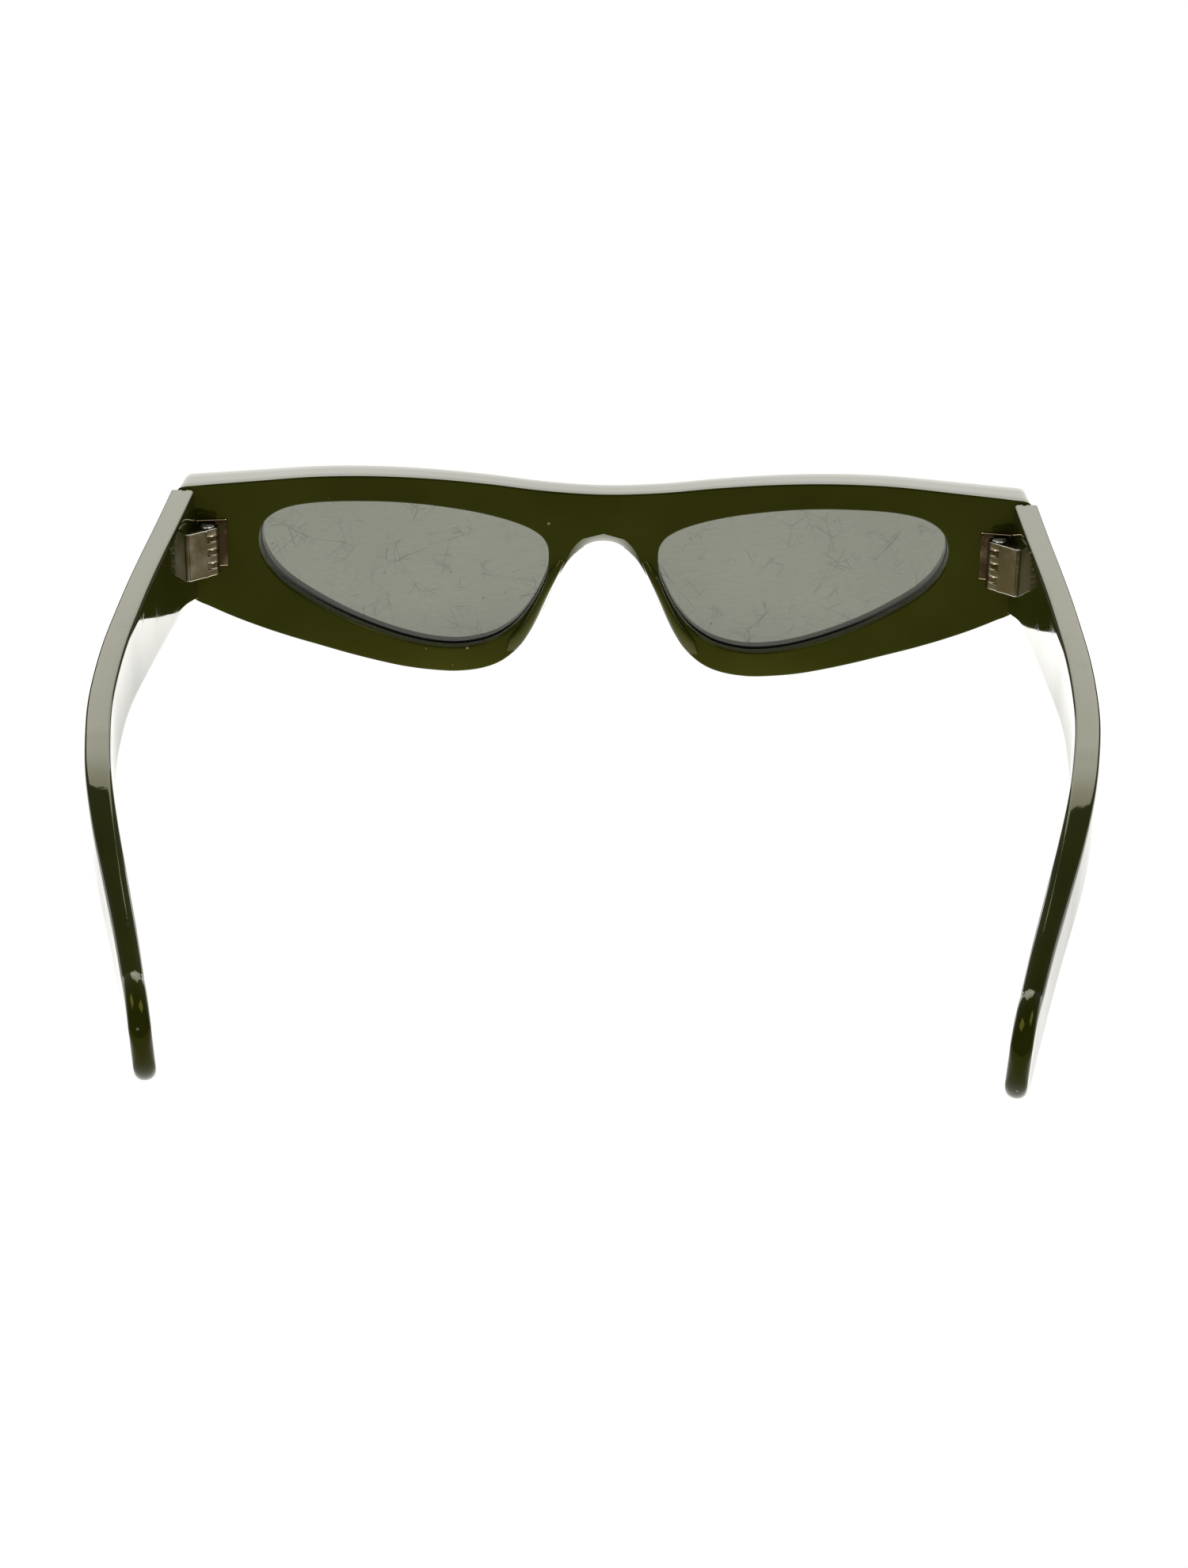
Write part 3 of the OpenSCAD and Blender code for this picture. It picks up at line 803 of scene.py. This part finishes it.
# %% Hairline scratches
scratches, given, result = new_group(
    "hairline_scratches", {"Scale": 60.0, "Width": 0.02, "Share": 0.5})
place = add(scratches, "ShaderNodeTexCoord", -900, 300)
lines = []
for turn, stretch in ((0.25, 3.2), (1.35, 2.2), (2.4, 4.0)):
    mapping = add(scratches, "ShaderNodeMapping", -700)
    mapping.inputs["Location"].default_value = (turn, 0.3 * turn, 0.0)
    mapping.inputs["Rotation"].default_value = (1.45, 0.15 * turn, turn)
    mapping.inputs["Scale"].default_value = (1.0, stretch, 1.0)
    cracks = add(scratches, "ShaderNodeTexVoronoi", -500, feature="DISTANCE_TO_EDGE")
    scratches.links.new(place.outputs["Object"], mapping.inputs["Vector"])
    scratches.links.new(mapping.outputs["Vector"], cracks.inputs["Vector"])
    scratches.links.new(given.outputs["Scale"], cracks.inputs["Scale"])
    near_line = math_node(scratches, "DIVIDE", cracks.outputs["Distance"], given.outputs["Width"])
    lines.append(math_node(scratches, "SUBTRACT", 1.0, near_line, True))
patch = add(scratches, "ShaderNodeTexNoise", -500, -400)
scratches.links.new(place.outputs["Object"], patch.inputs["Vector"])
patch.inputs["Scale"].default_value = 210.0
above_middle = math_node(scratches, "SUBTRACT", patch.outputs["Fac"], 0.5)
patchy = math_node(scratches, "MULTIPLY", above_middle, 7.0, True)
two_lines = math_node(scratches, "MAXIMUM", lines[0], lines[1])
all_lines = math_node(scratches, "MAXIMUM", two_lines, lines[2])
in_patches = math_node(scratches, "MULTIPLY", all_lines, patchy)
shown = math_node(scratches, "MULTIPLY", in_patches, given.outputs["Share"])
scratches.links.new(shown, result.inputs[0])
print("group:", scratches.name)

# %% Dust and tone
dust, given, result = new_group("dust_specks", {"Scale": 700.0, "Size": 0.1})
place = add(dust, "ShaderNodeTexCoord", -900, 300)
cells = add(dust, "ShaderNodeTexVoronoi", -500)
dust.links.new(place.outputs["Object"], cells.inputs["Vector"])
dust.links.new(given.outputs["Scale"], cells.inputs["Scale"])
pick = add(dust, "ShaderNodeSeparateColor", -300, -200)
dust.links.new(cells.outputs["Color"], pick.inputs["Color"])
few = math_node(dust, "POWER", pick.outputs["Red"], 7.0)
size = math_node(dust, "MULTIPLY", few, given.outputs["Size"])
inside = math_node(dust, "SUBTRACT", size, cells.outputs["Distance"])
speck = math_node(dust, "MULTIPLY", inside, 40.0, True)
dust.links.new(speck, result.inputs[0])

tone, given, result = new_group("uneven_tone", {"Scale": 40.0})
place = add(tone, "ShaderNodeTexCoord", -900, 300)
cloud = add(tone, "ShaderNodeTexNoise", -500)
cloud.inputs["Detail"].default_value = 3.0
tone.links.new(place.outputs["Object"], cloud.inputs["Vector"])
tone.links.new(given.outputs["Scale"], cloud.inputs["Scale"])
tone.links.new(cloud.outputs["Fac"], result.inputs[0])
print("groups:", dust.name, tone.name)

# %% [markdown]
# ## Acetate
# The acetate is a dark olive plastic, see-through only in thin pieces, and polished to a
# deep gloss. Seen straight on it is almost black-green. Seen along the surface it
# mirrors the white table. The Principled shader does both: the base colour is the olive,
# the facing gloss is kept low and warm with the specular tint, and the grazing gloss
# stays white by itself.

# %% Finishes


def use(tree, group, **numbers):
    """The output of a group placed in a material with its own numbers."""
    node = add(tree, "ShaderNodeGroup", -700, node_tree=group)
    for label, value in numbers.items():
        node.inputs[label].default_value = value
    return node.outputs[0]


def blend_colour(tree, share, first, second):
    """Mix of two colours by a mask."""
    node = add(tree, "ShaderNodeMix", -300, data_type="RGBA")
    tree.links.new(share, node.inputs["Factor"])
    for socket, value in ((node.inputs[6], first), (node.inputs[7], second)):
        if isinstance(value, tuple):
            socket.default_value = value + (1.0,)
        else:
            tree.links.new(value, socket)
    return node.outputs[2]


def new_material(name):
    """A material with an empty tree, its Principled shader and that tree."""
    material = bpy.data.materials.new(name)
    material.use_nodes = True
    tree = material.node_tree
    shader = tree.nodes["Principled BSDF"]
    return material, tree, shader


def bump(tree, shader, height, strength, distance):
    """A fine relief on the surface from this height."""
    node = add(tree, "ShaderNodeBump", -200, -300)
    node.inputs["Strength"].default_value = strength
    node.inputs["Distance"].default_value = distance
    tree.links.new(height, node.inputs["Height"])
    tree.links.new(node.outputs["Normal"], shader.inputs["Normal"])


def acetate(name, dark, light):
    """Polished acetate: two near olives mixed by a slow cloud, dust, and scratches that
    roughen the gloss."""
    material, tree, shader = new_material(name)
    cloud_out = use(tree, tone, Scale=55.0)
    speck_out = use(tree, dust, Scale=420.0, Size=0.16)
    scratch_out = use(tree, scratches, Scale=75.0, Width=0.02, Share=1.0)
    cloudy = math_node(tree, "MULTIPLY", math_node(tree, "SUBTRACT", cloud_out, 0.35), 2.6, True)
    olive = blend_colour(tree, cloudy, dark, light)
    dusty = math_node(tree, "MULTIPLY", speck_out, 0.35)
    tree.links.new(blend_colour(tree, dusty, olive, (0.35, 0.34, 0.28)), shader.inputs["Base Color"])
    rough = math_node(tree, "ADD", math_node(tree, "MULTIPLY", scratch_out, 0.14),
                      math_node(tree, "MULTIPLY", cloud_out, 0.10))
    rough = math_node(tree, "ADD", rough, math_node(tree, "MULTIPLY", speck_out, 0.3), True)
    tree.links.new(rough, shader.inputs["Roughness"])
    shader.inputs["IOR"].default_value = 1.49
    shader.inputs["Specular Tint"].default_value = (0.26, 0.26, 0.04, 1.0)
    bump(tree, shader, math_node(tree, "SUBTRACT", speck_out, scratch_out), 0.12, 0.00002)
    return material


olive = acetate("polished_olive_acetate", (0.0125, 0.0140, 0.0012), (0.0205, 0.0222, 0.0026))
# The pads get a lighter copy of the same olive acetate: painted light, for light through the thin
# acetate and its reflections.
pad_olive_painted_light = acetate("pad_acetate_painted_light", (0.0200, 0.0222, 0.0030), (0.0330, 0.0355, 0.0070))
for piece in [front] + temples:
    piece.data.materials.append(olive)
for piece in pads:
    piece.data.materials.append(pad_olive_painted_light)
print("acetate on", 1 + len(temples) + len(pads), "pieces")

# %% [markdown]
# ## The tint of the lenses
# The lens is clear plastic with a grey-green dye through it. A glass shader with a dark
# base colour takes the light in proportion, and the fine scratches and dust of use catch
# a little light on its surfaces.

# %% Lens finish
smoke, tree, shader = new_material("smoke_tint")
speck_out = use(tree, dust, Scale=520.0, Size=0.15)
scratch_out = use(tree, scratches, Scale=110.0, Width=0.012, Share=1.0)
cloud_out = use(tree, tone, Scale=30.0)
wiped = add(tree, "ShaderNodeTexNoise", -700, -500)
streak = add(tree, "ShaderNodeMapping", -900, -500)
streak.inputs["Scale"].default_value = (1.0, 12.0, 12.0)
streak.inputs["Rotation"].default_value = (0.0, 0.12, 0.0)
spot = add(tree, "ShaderNodeTexCoord", -1100, -500)
wiped.inputs["Scale"].default_value = 420.0
tree.links.new(spot.outputs["Object"], streak.inputs["Vector"])
tree.links.new(streak.outputs["Vector"], wiped.inputs["Vector"])
cloud_out = math_node(tree, "ADD", math_node(tree, "MULTIPLY", cloud_out, 0.45),
                      math_node(tree, "MULTIPLY", wiped.outputs["Fac"], 0.55))
tint = blend_colour(tree, cloud_out, (0.046, 0.0485, 0.0390), (0.096, 0.0985, 0.082))
marks = math_node(tree, "MAXIMUM", math_node(tree, "MULTIPLY", speck_out, 0.75),
                  math_node(tree, "MULTIPLY", scratch_out, 0.8))
tree.links.new(blend_colour(tree, marks, tint, (0.020, 0.020, 0.016)), shader.inputs["Base Color"])
tree.links.new(math_node(tree, "ADD", math_node(tree, "MULTIPLY", scratch_out, 0.12),
                         math_node(tree, "MULTIPLY", speck_out, 0.25), True),
               shader.inputs["Roughness"])
shader.inputs["Transmission Weight"].default_value = 1.0
shader.inputs["IOR"].default_value = 1.49
shader.inputs["Specular IOR Level"].default_value = 0.3
bump(tree, shader, math_node(tree, "ADD", speck_out, scratch_out), 0.06, 0.00001)
for piece in lenses:
    piece.data.materials.append(smoke)
print("tint on", len(lenses), "lenses")

# %% [markdown]
# ## Metals
# The tongues are brass, the temple leaf is nickel silver, and the screw and the core wire
# are steel. All are the same recipe with other numbers: a face colour, a bright one where
# the edge mask or the cloud is high, and brushed scratches in the gloss. On the brass and
# the nickel silver the face colour is painted dark: a painted reflection of the dark frame,
# with some tarnish. On the edges the bright colour is rubbed wear and a painted highlight.

# %% Metal finishes


def metal(name, face_colour, bright, rough, has_edge=True):
    """Metal: face and bright colours mixed by the edge mask and the cloud; the bright edges are rubbed
    wear and a painted highlight.
    """
    material, tree, shader = new_material(name)
    cloud_out = use(tree, tone, Scale=260.0)
    scratch_out = use(tree, scratches, Scale=900.0, Width=0.03, Share=0.6)
    wear_and_highlight = math_node(tree, "MULTIPLY", math_node(tree, "SUBTRACT", cloud_out, 0.5), 0.35, True)
    if has_edge:
        # The edge mask paints the rounded edges bright: rubbed wear and a painted highlight.
        edge_wear_and_highlight = add(tree, "ShaderNodeAttribute", -900, -200, attribute_name="edge")
        wear_and_highlight = math_node(tree, "MAXIMUM", wear_and_highlight, edge_wear_and_highlight.outputs["Fac"])
    wear_and_highlight = math_node(tree, "MAXIMUM", wear_and_highlight, math_node(tree, "MULTIPLY", scratch_out, 0.1))
    tree.links.new(blend_colour(tree, wear_and_highlight, face_colour, bright), shader.inputs["Base Color"])
    gloss = math_node(tree, "SUBTRACT", rough, math_node(tree, "MULTIPLY", wear_and_highlight, 0.10))
    tree.links.new(gloss, shader.inputs["Roughness"])
    shader.inputs["Metallic"].default_value = 1.0
    bump(tree, shader, math_node(tree, "SUBTRACT", cloud_out, scratch_out), 0.02, 0.00001)
    return material


# The dark face colours of the brass and the nickel silver are a painted reflection of the dark frame,
# with some tarnish.
brass = metal("brass_painted_reflection", (0.030, 0.019, 0.008), (0.95, 0.78, 0.48), 0.18)
nickel = metal("nickel_silver_tarnish_and_painted_reflection", (0.062, 0.049, 0.022), (0.85, 0.80, 0.68), 0.20)
steel = metal("screw_steel", (0.42, 0.40, 0.36), (0.80, 0.79, 0.75), 0.34)
wire_steel = metal("wire_steel", (0.45, 0.44, 0.42), (0.75, 0.75, 0.73), 0.30, False)
for pieces, material in ((front_leaves, brass), (temple_leaves, nickel), (screws, steel)):
    for piece in pieces:
        piece.data.materials.append(material)
for side in SIDES:
    wire = frame["nodes"][f"core_wire_{side}"]
    if not wire.material_slots:
        wire.data.materials.append(wire_steel)
    for wire_slot in wire.material_slots:
        wire_slot.material = wire_steel
print("metals:", brass.name, nickel.name, steel.name, wire_steel.name)

# %% [markdown]
# ## The table and the light
# The glasses stand on a white light table: the table glows evenly, so it shows no
# shadow, and it is what the polished sides mirror. A tall white card stands far behind
# it, for the top edges. Over the table it is darker, with two soft lamps that leave the
# small lights on the tips.

# %% Stage


def flat_card(name, corners):
    """A single four-cornered card."""
    mesh = bpy.data.meshes.new(name)
    mesh.from_pydata([tuple(c) for c in corners], [], [(0, 1, 2, 3)])
    card = bpy.data.objects.new(name, mesh)
    scene.collection.objects.link(card)
    return card


def glow(name, card, colour, near, far, seen, ends, axis):
    """A glowing surface. Its strength goes from near to far between two ends along an
    axis. What the camera sees of it is plain white at the strength called seen."""
    material = bpy.data.materials.new(name)
    material.use_nodes = True
    tree = material.node_tree
    tree.nodes.clear()
    out = add(tree, "ShaderNodeOutputMaterial", 600)
    place = add(tree, "ShaderNodeTexCoord", -600)
    split = add(tree, "ShaderNodeSeparateXYZ", -400)
    tree.links.new(place.outputs["Object"], split.inputs[0])
    strength = add(tree, "ShaderNodeMapRange", -200, interpolation_type="SMOOTHSTEP")
    for label, value in zip(("From Min", "From Max", "To Min", "To Max"), ends + (near, far)):
        strength.inputs[label].default_value = value
    tree.links.new(split.outputs[axis], strength.inputs["Value"])
    lit = add(tree, "ShaderNodeEmission", 0)
    lit.inputs["Color"].default_value = colour + (1.0,)
    tree.links.new(strength.outputs[0], lit.inputs["Strength"])
    plain = add(tree, "ShaderNodeEmission", 0, -200)
    plain.inputs["Strength"].default_value = seen
    path = add(tree, "ShaderNodeLightPath", 0, 300)
    choose = add(tree, "ShaderNodeMixShader", 300)
    tree.links.new(path.outputs["Is Camera Ray"], choose.inputs[0])
    tree.links.new(lit.outputs[0], choose.inputs[1])
    tree.links.new(plain.outputs[0], choose.inputs[2])
    tree.links.new(choose.outputs[0], out.inputs["Surface"])
    card.data.materials.append(material)
    return material


TABLE_Z, CARD_Y = -0.0004, 2.5
table = flat_card("table", [(-2, -1.5, TABLE_Z), (2, -1.5, TABLE_Z),
                            (2, CARD_Y, TABLE_Z), (-2, CARD_Y, TABLE_Z)])
glow("light_table", table, (1.0, 0.99, 0.96), 1.25, 3.3, 1.02, (0.03, 0.11), "Y")
backdrop = flat_card("backdrop", [(-1.1, CARD_Y, 0), (1.1, CARD_Y, 0),
                                  (1.1, CARD_Y, 3.2), (-1.1, CARD_Y, 3.2)])
glow("white_card", backdrop, (1.0, 0.985, 0.95), 2.7, 5.4, 1.02, (0.9, 1.8), "Z")
world = bpy.data.worlds.new("room")
world.use_nodes = True
world.node_tree.nodes["Background"].inputs["Color"].default_value = (0.26, 0.26, 0.25, 1)
world.node_tree.nodes["Background"].inputs["Strength"].default_value = 1.0
scene.world = world


def soft_lamp(name, place, target, size, power):
    """A square area lamp at a place, facing a target, in metres and watts."""
    data = bpy.data.lights.new(name, "AREA")
    data.shape = "RECTANGLE"
    data.size, data.size_y = size
    data.energy = power
    lamp = bpy.data.objects.new(name, data)
    lamp.location = place
    lamp.rotation_euler = (Vector(target) - Vector(place)).to_track_quat("-Z", "Y").to_euler()
    scene.collection.objects.link(lamp)
    return lamp


soft_lamp("lamp_left", (-0.55, -0.35, 0.9), (0, 0, 0), (0.5, 0.35), 3.4)
soft_lamp("lamp_right", (0.6, -0.30, 0.9), (0, 0, 0), (0.5, 0.35), 3.4)
print("stage set")
